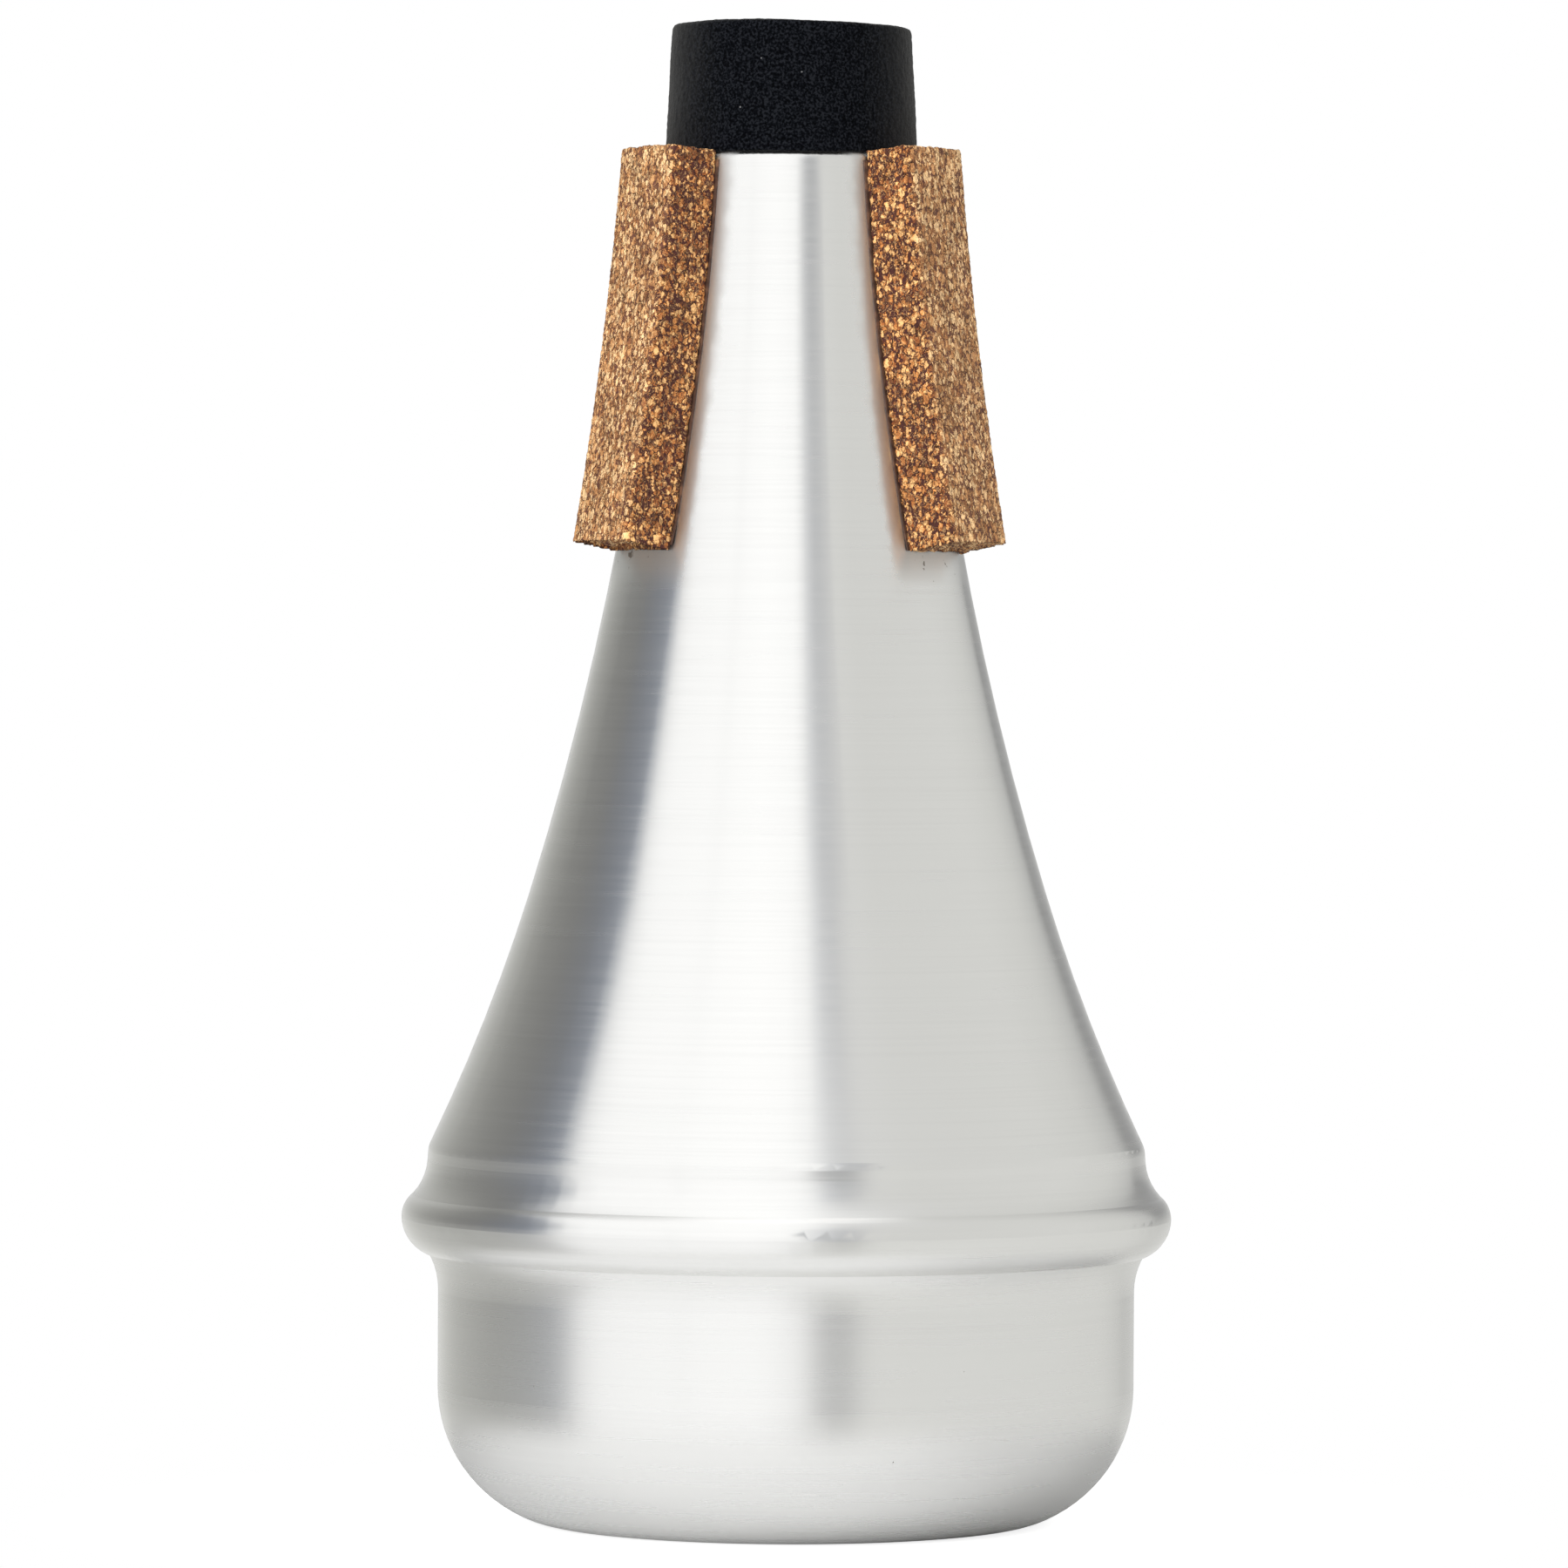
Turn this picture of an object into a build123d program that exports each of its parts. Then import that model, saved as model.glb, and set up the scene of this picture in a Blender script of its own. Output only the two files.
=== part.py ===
# Trumpet straight mute, standing on its closed end.
# Millimetres. The origin is the centre of the flat base, +Z runs up the axis and -Y is the front.
# Both metal pieces are sheet turned about the axis: each is drawn as the line of its outside,
# thickened inwards by the sheet and revolved.

import os
from math import acos, atan2, cos, degrees, radians, sin, sqrt, tan

from build123d import *

os.makedirs("parts", exist_ok=True)

# Sheet metal
cone_sheet = 0.8
cup_sheet = 0.8

# Cup: the closed end that the mute stands on
cup_radius = 38.35
side_corner_radius = 15.5
base_corner_radius = 9.8
base_corner_turn = 25.0

# Bead: the rolled seam, where the cone's skin wraps the cup's curled rim
bead_height = 33.65
bead_stand_out = 2.95
bead_upper_radius = 3.05
bead_upper_turn = 52.0
bead_lower_radius = 4.35
rim_flare_radius = 8.0
rim_curl_turn = 190.0
lip_tip_thickness = 0.32

# Cone: a crease, the cove and the shoulder above the bead, then two arcs of flare up to the ledge
cove_radius = 6.2
shoulder_step = 1.1
shoulder_wall = 1.5
shoulder_tilt = 4.0
shoulder_round = 2.3
flare_break_inset = 11.0
flare_break_rise = 28.0
flare_top_angle = 3.2
ledge_radius = 13.9
ledge_bend_inside = 0.1

# Neck: the stepped-in end that carries the bumper
ledge_width = 2.6
neck_bend = 0.6
neck_edge_round = 0.25

# Bumper: a sponge sleeve that sits on the ledge, flush with the cone, and stands past the neck
overall_height = 165.0
bumper_length = 14.7
bumper_top_wall = 1.65
bumper_overhang = 1.0
bumper_round = 0.45
bumper_glue = 0.15

# Cork strips: their backs are hollowed to the cone, and their tops lap the bumper's foot
cork_sides = ("back", "left", "right")
cork_first_angle = 90.0
cork_width = 11.8
cork_length = 43.2
cork_top_depth = 4.7
cork_foot_depth = 5.5
cork_belly = 0.15
cork_crown = 0.3
cork_ridge_round = 0.7
cork_blank_depth = 10.0
cork_lap = 0.65
cork_glue = 0.15
glue_margin = 0.2

# Places worked out from the sizes above
side_corner_turn = 90.0 - base_corner_turn
base_flat_radius = (
    cup_radius
    - side_corner_radius * (1 - cos(radians(side_corner_turn)))
    - base_corner_radius * sin(radians(base_corner_turn))
)
shoulder_radius = cup_radius + shoulder_step
bead_radius = shoulder_radius + bead_stand_out
lower_bead_centre = bead_radius - bead_lower_radius
upper_bead_centre = bead_radius - bead_upper_radius
bead_top_inset = bead_upper_radius * (1 - cos(radians(bead_upper_turn)))
bead_top_height = bead_height + bead_upper_radius * sin(radians(bead_upper_turn))
cove_inset = bead_stand_out - bead_top_inset - shoulder_wall * tan(radians(shoulder_tilt))
cove_foot_tilt = degrees(acos(cos(radians(shoulder_tilt)) - cove_inset / cove_radius))
cove_rise = cove_radius * (sin(radians(cove_foot_tilt)) - sin(radians(shoulder_tilt)))
shoulder_height = bead_top_height + cove_rise + shoulder_wall
ledge_height = overall_height - bumper_length
ledge_bend = ledge_bend_inside + cone_sheet
neck_radius = ledge_radius - ledge_width
neck_top = overall_height - bumper_overhang
bumper_bore_radius = neck_radius + bumper_glue
bumper_top_radius = bumper_bore_radius + bumper_top_wall
cork_top = ledge_height + cork_lap
cork_foot = cork_top - cork_length

# The rim's flare leaves the cup's wall where its arc will just touch the inside of the bead's skin
rim_flare_centre = cup_radius + rim_flare_radius
flare_to_bead = rim_flare_radius + bead_lower_radius - cone_sheet
rim_flare_rise = sqrt(flare_to_bead**2 - (rim_flare_centre - lower_bead_centre) ** 2)
rim_flare_height = bead_height - rim_flare_rise
rim_flare_turn = degrees(atan2(rim_flare_rise, rim_flare_centre - lower_bead_centre))

# The lip ends where the skin between the bead's outside and that flare has thinned to its tip
flare_to_lip = rim_flare_radius - lip_tip_thickness
lip_past_flare = degrees(
    acos(
        (bead_lower_radius**2 + flare_to_bead**2 - flare_to_lip**2)
        / (2 * bead_lower_radius * flare_to_bead)
    )
)
lip_turn = rim_flare_turn + lip_past_flare

# Cup: flat base, two-radius corner, straight wall, and the rim that flares out against the bead's
# skin and curls over at its top
with BuildPart() as base_cup:
    with BuildSketch(Plane.XZ):
        with BuildLine():
            base_line = Line((0, 0), (base_flat_radius, 0))
            base_corner = JernArc(base_line @ 1, base_line % 1, base_corner_radius, base_corner_turn)
            side_corner = JernArc(base_corner @ 1, base_corner % 1, side_corner_radius, side_corner_turn)
            cup_wall = Line(side_corner @ 1, (cup_radius, rim_flare_height))
            rim_flare = JernArc(cup_wall @ 1, cup_wall % 1, rim_flare_radius, -rim_flare_turn)
            CenterArc(
                (lower_bead_centre, bead_height),
                bead_lower_radius - cone_sheet,
                -rim_flare_turn,
                rim_flare_turn,
            )
            CenterArc(
                (upper_bead_centre, bead_height), bead_upper_radius - cone_sheet, 0, rim_curl_turn
            )
            offset(amount=cup_sheet, side=Side.RIGHT)
        make_face()
    revolve(axis=Axis.Z)
base_cup.part.label = "base_cup"

# Cone: the bead's skin, cove, shoulder and flare, then in across the ledge and up the neck.
# Its lip is pressed onto the cup's flaring wall, so it thins towards the tip.
with BuildPart() as cone_shell:
    with BuildSketch(Plane.XZ) as cone_section:
        with BuildLine() as cone_outside:
            bead_skin = CenterArc((lower_bead_centre, bead_height), bead_lower_radius, -lip_turn, lip_turn)
            bead_top = CenterArc(
                (upper_bead_centre, bead_height), bead_upper_radius, 0, bead_upper_turn
            )
            cove_foot_way = (-sin(radians(cove_foot_tilt)), cos(radians(cove_foot_tilt)))
            cove = JernArc(bead_top @ 1, cove_foot_way, cove_radius, shoulder_tilt - cove_foot_tilt)
            flare_top = TangentArc(
                (ledge_radius, ledge_height),
                (shoulder_radius - flare_break_inset, shoulder_height + flare_break_rise),
                tangent=(sin(radians(flare_top_angle)), -cos(radians(flare_top_angle))),
            )
            flare_foot = TangentArc(
                flare_top @ 1, (shoulder_radius, shoulder_height), tangent=flare_top % 1
            )
            Line(cove @ 1, flare_foot @ 1)
            ledge = Line(flare_top @ 0, (neck_radius, ledge_height))
            Line(ledge @ 1, (neck_radius, neck_top))
            for corner, bend in (
                (flare_foot @ 1, shoulder_round),
                (ledge @ 0, ledge_bend),
                (ledge @ 1, neck_bend),
            ):
                fillet(cone_outside.vertices().sort_by_distance(corner)[0], bend)
            offset(amount=cone_sheet, side=Side.LEFT)
        make_face()
        with BuildLine():
            add(rim_flare)
            Polyline(rim_flare @ 1, (lower_bead_centre, bead_height), rim_flare @ 0)
        make_face(mode=Mode.SUBTRACT)
        lip_tip = cone_section.vertices().sort_by_distance(bead_skin @ 0)[0]
        fillet(lip_tip, lip_tip_thickness / 2)
        fillet(cone_section.vertices().group_by(Axis.Y)[-1], neck_edge_round)
    revolve(axis=Axis.Z)
cone_shell.part.label = "cone_shell"

# Bumper: a sleeve with a straight bore on the neck and a tapered outside
with BuildPart() as neck_bumper:
    with BuildSketch(Plane.XZ):
        with BuildLine():
            Polyline(
                (bumper_bore_radius, ledge_height),
                (ledge_radius, ledge_height),
                (bumper_top_radius, overall_height),
                (bumper_bore_radius, overall_height),
                close=True,
            )
        make_face()
    revolve(axis=Axis.Z)
    fillet(neck_bumper.edges().group_by(Axis.Z)[-1], bumper_round)
    bore_foot = neck_bumper.edges().group_by(Axis.Z)[0].sort_by(SortBy.RADIUS)[0]
    chamfer(bore_foot, neck_bend)
neck_bumper.part.label = "neck_bumper"

# Bumper glue: the film between neck and bore, above the bend at the neck's foot
with BuildPart() as glue_bumper:
    with BuildSketch(Plane.XY.offset(ledge_height + neck_bend)):
        Circle(bumper_bore_radius)
        Circle(neck_radius, mode=Mode.SUBTRACT)
    extrude(amount=neck_top - neck_edge_round - ledge_height - neck_bend)
glue_bumper.part.label = "glue_bumper"

# The corks lie on the upper arc of the flare. Its middle is outside the cone and above the ledge.
flare_middle = flare_top.arc_center
flare_middle_to_break = flare_top_angle + degrees(flare_top.length / flare_top.radius)


def cork_face_point(height, depth):
    """Point of a cork's outer face at this height and this depth over the cone."""
    cone_radius = flare_middle.X - sqrt(flare_top.radius**2 - (flare_middle.Y - height) ** 2)
    return (cone_radius + depth, height)


# Cork strip, drawn on the +X side: a crowned section swept down the bent line of its outer face,
# so both ends are cut square to it, then hollowed along the back by the cone and its glue
with BuildPart() as cork_strip:
    with BuildLine(Plane.XZ):
        cork_path = ThreePointArc(
            cork_face_point(cork_top, cork_top_depth),
            cork_face_point((cork_top + cork_foot) / 2, (cork_top_depth + cork_foot_depth) / 2 + cork_belly),
            cork_face_point(cork_foot, cork_foot_depth),
        )
    with BuildSketch(Plane(cork_path @ 0, x_dir=(0, 1, 0), z_dir=cork_path % 0)) as cork_section:
        with BuildLine():
            crown = ThreePointArc((-cork_width / 2, -cork_crown), (0, 0), (cork_width / 2, -cork_crown))
            Polyline(
                crown @ 1,
                (cork_width / 2, -cork_blank_depth),
                (-cork_width / 2, -cork_blank_depth),
                crown @ 0,
            )
        make_face()
        fillet(cork_section.vertices().group_by(Axis.Y)[-1], cork_ridge_round)
    sweep(path=cork_path)
    with BuildSketch(Plane.XZ):
        with BuildLine():
            glue_face = CenterArc(flare_middle, flare_top.radius - cork_glue, 180, flare_middle_to_break)
            Polyline(glue_face @ 0, (0, flare_middle.Y), (0, (glue_face @ 1).Y), glue_face @ 1)
        make_face()
    revolve(axis=Axis.Z, mode=Mode.SUBTRACT)

# Cork glue, drawn on the +X side: the film between cone and strip, squeezed out past the strip's edges
with BuildPart() as glue_strip:
    with BuildSketch(Plane.XZ):
        with BuildLine():
            glue_inside = CenterArc(flare_middle, flare_top.radius, 180, flare_middle_to_break)
            glue_outside = CenterArc(flare_middle, flare_top.radius - cork_glue, 180, flare_middle_to_break)
            Line(glue_inside @ 0, glue_outside @ 0)
            Line(glue_inside @ 1, glue_outside @ 1)
        make_face()
    revolve(axis=Axis.Z)
    glue_top = ledge_height - ledge_bend
    glue_foot = cork_foot - cork_foot_depth * (cork_path % 1).X - glue_margin
    with BuildSketch(Plane.YZ):
        with Locations((0, (glue_top + glue_foot) / 2)):
            Rectangle(cork_width + 2 * glue_margin, glue_top - glue_foot)
    extrude(amount=shoulder_radius, mode=Mode.INTERSECT)

for piece in (base_cup, cone_shell, neck_bumper, glue_bumper):
    export_step(piece.part, f"parts/{piece.part.label}.step")

for place, side in enumerate(cork_sides):
    cork_angle = cork_first_angle + place * 360 / len(cork_sides)
    with BuildPart() as cork:
        add(cork_strip.part.rotate(Axis.Z, cork_angle))
    cork.part.label = f"cork_{side}"
    export_step(cork.part, f"parts/{cork.part.label}.step")
    with BuildPart() as glue:
        add(glue_strip.part.rotate(Axis.Z, cork_angle))
    glue.part.label = f"glue_{side}"
    export_step(glue.part, f"parts/{glue.part.label}.step")
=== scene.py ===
from math import radians

import bpy
import numpy as np
from mathutils import Matrix, Vector, noise


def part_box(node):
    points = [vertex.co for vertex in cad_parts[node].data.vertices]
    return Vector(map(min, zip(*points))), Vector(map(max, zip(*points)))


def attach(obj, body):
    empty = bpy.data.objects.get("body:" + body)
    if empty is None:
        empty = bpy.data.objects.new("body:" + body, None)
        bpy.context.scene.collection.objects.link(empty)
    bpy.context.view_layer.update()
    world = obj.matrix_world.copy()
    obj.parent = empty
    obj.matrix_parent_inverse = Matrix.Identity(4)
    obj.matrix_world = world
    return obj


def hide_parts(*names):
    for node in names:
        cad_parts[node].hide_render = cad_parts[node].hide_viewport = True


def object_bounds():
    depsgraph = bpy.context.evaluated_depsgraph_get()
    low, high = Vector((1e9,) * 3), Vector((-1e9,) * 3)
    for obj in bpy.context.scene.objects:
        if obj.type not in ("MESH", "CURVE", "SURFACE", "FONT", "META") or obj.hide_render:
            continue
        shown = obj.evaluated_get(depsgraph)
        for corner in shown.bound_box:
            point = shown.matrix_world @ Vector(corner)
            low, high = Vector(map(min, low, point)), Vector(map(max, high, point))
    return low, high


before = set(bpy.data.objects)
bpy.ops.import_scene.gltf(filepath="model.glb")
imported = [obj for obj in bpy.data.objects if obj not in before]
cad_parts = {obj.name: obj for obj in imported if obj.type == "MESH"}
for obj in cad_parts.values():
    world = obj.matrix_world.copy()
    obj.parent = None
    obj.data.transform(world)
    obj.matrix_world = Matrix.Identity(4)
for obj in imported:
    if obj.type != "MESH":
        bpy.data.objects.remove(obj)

cad_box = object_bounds()
scene = bpy.context.scene
scene.view_settings.view_transform = "Standard"

# Camera: a long lens, a metre off and a little over half the mute's height, so that the bead and the
# neck show only as slight curves. The mute leans to the right by a quarter of a degree in the picture.
lens_mm = 206.3
sensor_mm = 36.0
nearest_seen = 0.01
camera_place = Vector((-0.00048, -0.990, 0.0957))
camera_pitch = radians(-0.831)
camera_roll = radians(0.268)

camera = bpy.data.objects.new("camera", bpy.data.cameras.new("camera"))
camera.data.lens = lens_mm
camera.data.sensor_width = sensor_mm
camera.data.clip_start = nearest_seen
camera.matrix_world = (
    Matrix.Translation(camera_place)
    @ Matrix.Rotation(radians(90) + camera_pitch, 4, "X")
    @ Matrix.Rotation(camera_roll, 4, "Z")
)
scene.collection.objects.link(camera)
scene.camera = camera


# Studio: white backdrop behind, a tall softbox to the left of the camera, a grey gap where the camera
# stands, a pale wall to the right, and a dark corner on either side of the backdrop. The table pales the
# corners from below, and the softbox reaches over the mute. The camera sees only the white backdrop.
# A zone is a bearing from the camera in degrees, a level of light, and how yellow or, below 0, blue it is.
table_zones = (
    (-180, 0.85, 0.02), (-155, 0.62, 0.04), (-140, 0.52, 0.04), (-112, 0.44, 0.04), (-95, 0.46, 0.03),
    (-84, 0.51, 0.0), (-77, 0.63, 0.0), (-71, 0.86, 0.0), (-63, 0.96, 0.0), (-38, 1.0, 0.0),
    (-35, 0.96, 0.0), (-32, 1.0, 0.0), (-8, 1.01, 0.0), (1, 0.91, 0.0), (7, 0.8, 0.01),
    (12, 0.66, 0.02), (19, 0.62, 0.03), (27, 0.75, 0.03), (60, 0.75, 0.025), (130, 0.7, 0.03),
    (147, 0.61, 0.03), (165, 0.65, 0.03), (180, 0.85, 0.02),
)
wall_zones = (
    (-180, 0.85, 0.0), (-172, 0.6, 0.01), (-158, 0.49, 0.04), (-140, 0.33, 0.05), (-124, 0.24, 0.04),
    (-110, 0.205, 0.02), (-98, 0.2, -0.08), (-88, 0.23, -0.15), (-82, 0.28, -0.15), (-77, 0.5, -0.07),
    (-72, 0.92, 0.0), (-64, 1.05, 0.0), (-38, 1.08, 0.0), (-35, 1.02, 0.0), (-32, 1.08, 0.0),
    (-14, 1.11, 0.0), (4, 1.08, 0.0), (9, 0.98, 0.0), (13, 0.73, -0.03), (17, 0.56, -0.03),
    (21, 0.56, -0.03), (25, 0.63, 0.0), (29, 0.72, 0.02), (42, 0.69, 0.025), (100, 0.71, 0.025),
    (126, 0.66, 0.03), (142, 0.53, 0.02), (148, 0.29, 0.01), (158, 0.31, 0.0), (167, 0.38, 0.0),
    (174, 0.55, 0.0), (180, 0.85, 0.0),
)
over_zones = (
    (-180, 0.5, 0.03), (-140, 0.3, 0.04), (-124, 0.5, 0.03), (-110, 0.92, 0.0), (-96, 1.02, 0.0),
    (-82, 1.08, 0.0), (-8, 1.11, 0.0), (11, 1.05, 0.0), (25, 0.74, 0.0), (100, 0.69, 0.025),
    (130, 0.62, 0.03), (150, 0.4, 0.02), (180, 0.5, 0.02),
)
under_mute_light = (0.76, 0.76, 0.74, 1)
overhead_light = (1.2, 1.2, 1.2, 1)
backdrop_white = (1, 1, 1, 1)

# How high a direction points when one light turns into the next, from -1 straight down to 1 straight up
under_to_table = (-0.88, -0.52)
table_to_wall = (-0.13, 0.11)
wall_to_over = (0.6, 0.86)
over_to_overhead = (0.92, 1.0)

# The softbox leans: the higher its left edge, the further round to the left, by up to this many degrees
softbox_lean = 44
lean_heights = (0.4, 1.0)
leans_left_of = (radians(-60), radians(-20))

# The camera's dark body, which shows as a spot in the cove above the bead
camera_body_place = (0.26, -0.96, 0.06)
camera_body_edge = (0.08, 0.2)
camera_body_shade = 0.9
camera_body_grey = (0.3, 0.3, 0.31, 1)

column_width, row_height = 200, 160


def put(tree, kind, place, **settings):
    """A node of this kind at this place in the tree, with its settings made and its inputs set."""
    node = tree.nodes.new(kind)
    node.location = (place[0] * column_width, place[1] * row_height)
    inputs = settings.pop("inputs", {})
    for setting, value in settings.items():
        setattr(node, setting, value)
    for socket, value in inputs.items():
        if isinstance(value, bpy.types.NodeSocket):
            tree.links.new(value, node.inputs[socket])
        else:
            node.inputs[socket].default_value = value
    return node


def maths(tree, place, operation, *values):
    """The result of one operation on numbers or sockets."""
    return put(tree, "ShaderNodeMath", place, operation=operation, inputs=dict(enumerate(values))).outputs[0]


def vectors(tree, place, operation, *values):
    """The result of one operation on vectors or sockets, which is a number or a vector."""
    sockets = (0, "Scale") if operation == "SCALE" else (0, 1, 2)
    node = put(tree, "ShaderNodeVectorMath", place, operation=operation, inputs=dict(zip(sockets, values)))
    gives_number = operation in ("DISTANCE", "DOT_PRODUCT", "LENGTH")
    return node.outputs["Value" if gives_number else "Vector"]


def ranged(tree, place, value, given, wanted=(0.0, 1.0), bend="SMOOTHSTEP"):
    """A value carried over from the range that is given to the one that is wanted."""
    node = put(
        tree, "ShaderNodeMapRange", place, interpolation_type=bend,
        inputs={
            "Value": value, "From Min": given[0], "From Max": given[1],
            "To Min": wanted[0], "To Max": wanted[1],
        },
    )
    return node.outputs[0]


def mixed(tree, place, factor, first, second, **settings):
    """One colour turning into another by a factor from 0 to 1."""
    inputs = {"Factor": factor, "A": first, "B": second}
    return put(tree, "ShaderNodeMix", place, data_type="RGBA", inputs=inputs, **settings).outputs["Result"]


def ramp(tree, place, factor, stops):
    """A colour ramp with a stop for each (position, colour or grey level)."""
    node = put(tree, "ShaderNodeValToRGB", place, inputs={"Fac": factor})
    bar = node.color_ramp
    for number, (position, colour) in enumerate(stops):
        stop = bar.elements[number] if number < 2 else bar.elements.new(position)
        stop.position = position
        stop.color = (*colour, 1) if isinstance(colour, tuple) else (colour, colour, colour, 1)
    return node.outputs["Color"]


def compass(zones):
    """Zones given by degrees round from the camera, as stops of a ramp."""
    return [
        ((degrees + 180) / 360, (level * (1 + min(yellow, 0) / 2), level, level * (1 - yellow)))
        for degrees, level, yellow in zones
    ]


world = bpy.data.worlds.new("studio")
scene.world = world
world.use_nodes = True
sky = world.node_tree
sky.nodes.clear()
direction = put(sky, "ShaderNodeTexCoord", (-6, 0)).outputs["Generated"]
across, along, height = put(sky, "ShaderNodeSeparateXYZ", (-5, 0), inputs={0: direction}).outputs
nearer = maths(sky, (-4, 1), "MULTIPLY", along, -1.0)
bearing = maths(sky, (-3, 1), "ARCTAN2", across, nearer)
turn = ranged(sky, (-2, 1), bearing, (radians(-180), radians(180)), bend="LINEAR")
lean = ranged(sky, (-3, 2), height, lean_heights, (0.0, softbox_lean / 360))
left_of_middle = ranged(sky, (-3, 3), bearing, leans_left_of, (1.0, 0.0))
leant_turn = maths(sky, (-2, 2), "MULTIPLY_ADD", lean, left_of_middle, turn)

table_light = ramp(sky, (-1, 1), turn, compass(table_zones))
wall_light = ramp(sky, (-1, 2), leant_turn, compass(wall_zones))
over_light = ramp(sky, (-1, 3), turn, compass(over_zones))
at_table = ranged(sky, (-1, 0), height, under_to_table)
at_wall = ranged(sky, (-1, -1), height, table_to_wall)
at_over = ranged(sky, (-1, -2), height, wall_to_over)
at_overhead = ranged(sky, (-1, -3), height, over_to_overhead)
with_table = mixed(sky, (0, 1), at_table, under_mute_light, table_light)
with_wall = mixed(sky, (1, 1), at_wall, with_table, wall_light)
with_over = mixed(sky, (2, 1), at_over, with_wall, over_light)
from_camera_body = vectors(sky, (-3, -2), "DISTANCE", direction, camera_body_place)
camera_body = ranged(sky, (-2, -2), from_camera_body, camera_body_edge, (camera_body_shade, 0.0))
with_camera = mixed(sky, (3, 1), camera_body, with_over, camera_body_grey)
all_light = mixed(sky, (4, 1), at_overhead, with_camera, overhead_light)

studio_light = put(sky, "ShaderNodeBackground", (5, 1), inputs={"Color": all_light})
backdrop = put(sky, "ShaderNodeBackground", (5, 0), inputs={"Color": backdrop_white})
ray = put(sky, "ShaderNodeLightPath", (4, 3)).outputs
seen = maths(sky, (5, 3), "MAXIMUM", ray["Is Camera Ray"], ray["Is Transmission Ray"])
background = put(
    sky, "ShaderNodeMixShader", (6, 1),
    inputs={0: seen, 1: studio_light.outputs[0], 2: backdrop.outputs[0]},
)
put(sky, "ShaderNodeOutputWorld", (7, 1), inputs={0: background.outputs[0]})

# Lamps: one wide and soft from the left, where the softbox is, and a weaker one high on the right
lamp_size = 0.8
lamps_aim = Vector((0, 0, 0.08))
for lamp_name, lamp_place, lamp_watts in (
    ("softbox_lamp", (-0.75, -0.75, 0.55), 11.4),
    ("wall_lamp", (0.8, -0.5, 0.6), 4.5),
):
    lamp = bpy.data.objects.new(lamp_name, bpy.data.lights.new(lamp_name, "AREA"))
    lamp.data.size = lamp_size
    lamp.data.energy = lamp_watts
    lamp.location = lamp_place
    lamp.rotation_euler = (lamps_aim - lamp.location).to_track_quat("-Z", "Y").to_euler()
    lamp.visible_glossy = False
    scene.collection.objects.link(lamp)


# Floor: a pale sheet that the mute stands on and that fades out into the backdrop. The camera sees it
# nearly white, and in the metal's reflections it glows brighter on the softbox side: a painted glow standing
# in for the softbox's light on it.
floor_half_side = 0.6
floor_colour = (0.55, 0.55, 0.55, 1)
glow_white = (1, 1, 1, 1)
white_lift = 0.8
mirrored_painted_glow = 0.24
softbox_side = (-0.5, -0.87, 0)
softbox_side_from = (0.0, 0.05)
floor_fade = (0.052, 0.085)


def new_material(name):
    """A material with this name, and its emptied node tree."""
    material = bpy.data.materials.new(name)
    material.use_nodes = True
    material.node_tree.nodes.clear()
    return material, material.node_tree


floor_mesh = bpy.data.meshes.new("floor")
floor_mesh.from_pydata(
    [(x * floor_half_side, y * floor_half_side, 0) for x, y in ((-1, -1), (1, -1), (1, 1), (-1, 1))],
    [],
    [(0, 1, 2, 3)],
)
floor = bpy.data.objects.new("floor", floor_mesh)
scene.collection.objects.link(floor)
pale_sheet, sheet = new_material("pale_sheet")
sheet_light = put(sheet, "ShaderNodeBsdfDiffuse", (0, 0), inputs={"Color": floor_colour})
sheet_ray = put(sheet, "ShaderNodeLightPath", (-3, -1)).outputs
sheet_place = put(sheet, "ShaderNodeTexCoord", (-5, 2)).outputs["Object"]
to_softbox = vectors(sheet, (-4, -2), "DOT_PRODUCT", sheet_place, softbox_side)
# Painted glow: for reflections the sheet glows on the softbox side, in place of the softbox's light on it
painted_glow_on_softbox_side = ranged(sheet, (-3, -2), to_softbox, softbox_side_from, (0.0, mirrored_painted_glow))
glossy_painted_glow = maths(sheet, (-2, -1), "MULTIPLY", sheet_ray["Is Glossy Ray"], painted_glow_on_softbox_side)
lift = maths(sheet, (-1, -1), "MULTIPLY_ADD", sheet_ray["Is Camera Ray"], white_lift, glossy_painted_glow)
sheet_glow = put(sheet, "ShaderNodeEmission", (0, -1), inputs={"Color": glow_white, "Strength": lift})
lit = put(sheet, "ShaderNodeAddShader", (2, 0), inputs={0: sheet_light.outputs[0], 1: sheet_glow.outputs[0]})
fade = ranged(sheet, (-1, 2), vectors(sheet, (-2, 2), "LENGTH", sheet_place), floor_fade)
clear = put(sheet, "ShaderNodeBsdfTransparent", (2, 1))
shown = put(sheet, "ShaderNodeMixShader", (3, 0), inputs={0: fade, 1: lit.outputs[0], 2: clear.outputs[0]})
put(sheet, "ShaderNodeOutputMaterial", (4, 0), inputs={0: shown.outputs[0]})
floor_mesh.materials.append(pale_sheet)


# Cone and cup: sheet aluminium spun on a lathe and left with the marks of the tool and the abrasive,
# which run round the axis. They draw each reflection out up and down the wall and keep it narrow
# across. The cone's lip is rolled over the cup's rim.
aluminium_colour = (0.905, 0.905, 0.89)
# The fine lines' grooves are darkened by this share, as painted shade
groove_shade = 0.985
streak_depth = 0.3
tool_line_depth = 5.0
specks_per_metre = 260.0
speck_colour = (0.68, 0.67, 0.65, 1)
speck_dullness = 0.5
cement_stain = (0.36, 0.33, 0.3, 1)
haze_roughness = 0.54
mute_height = cad_box[1][2]

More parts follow.
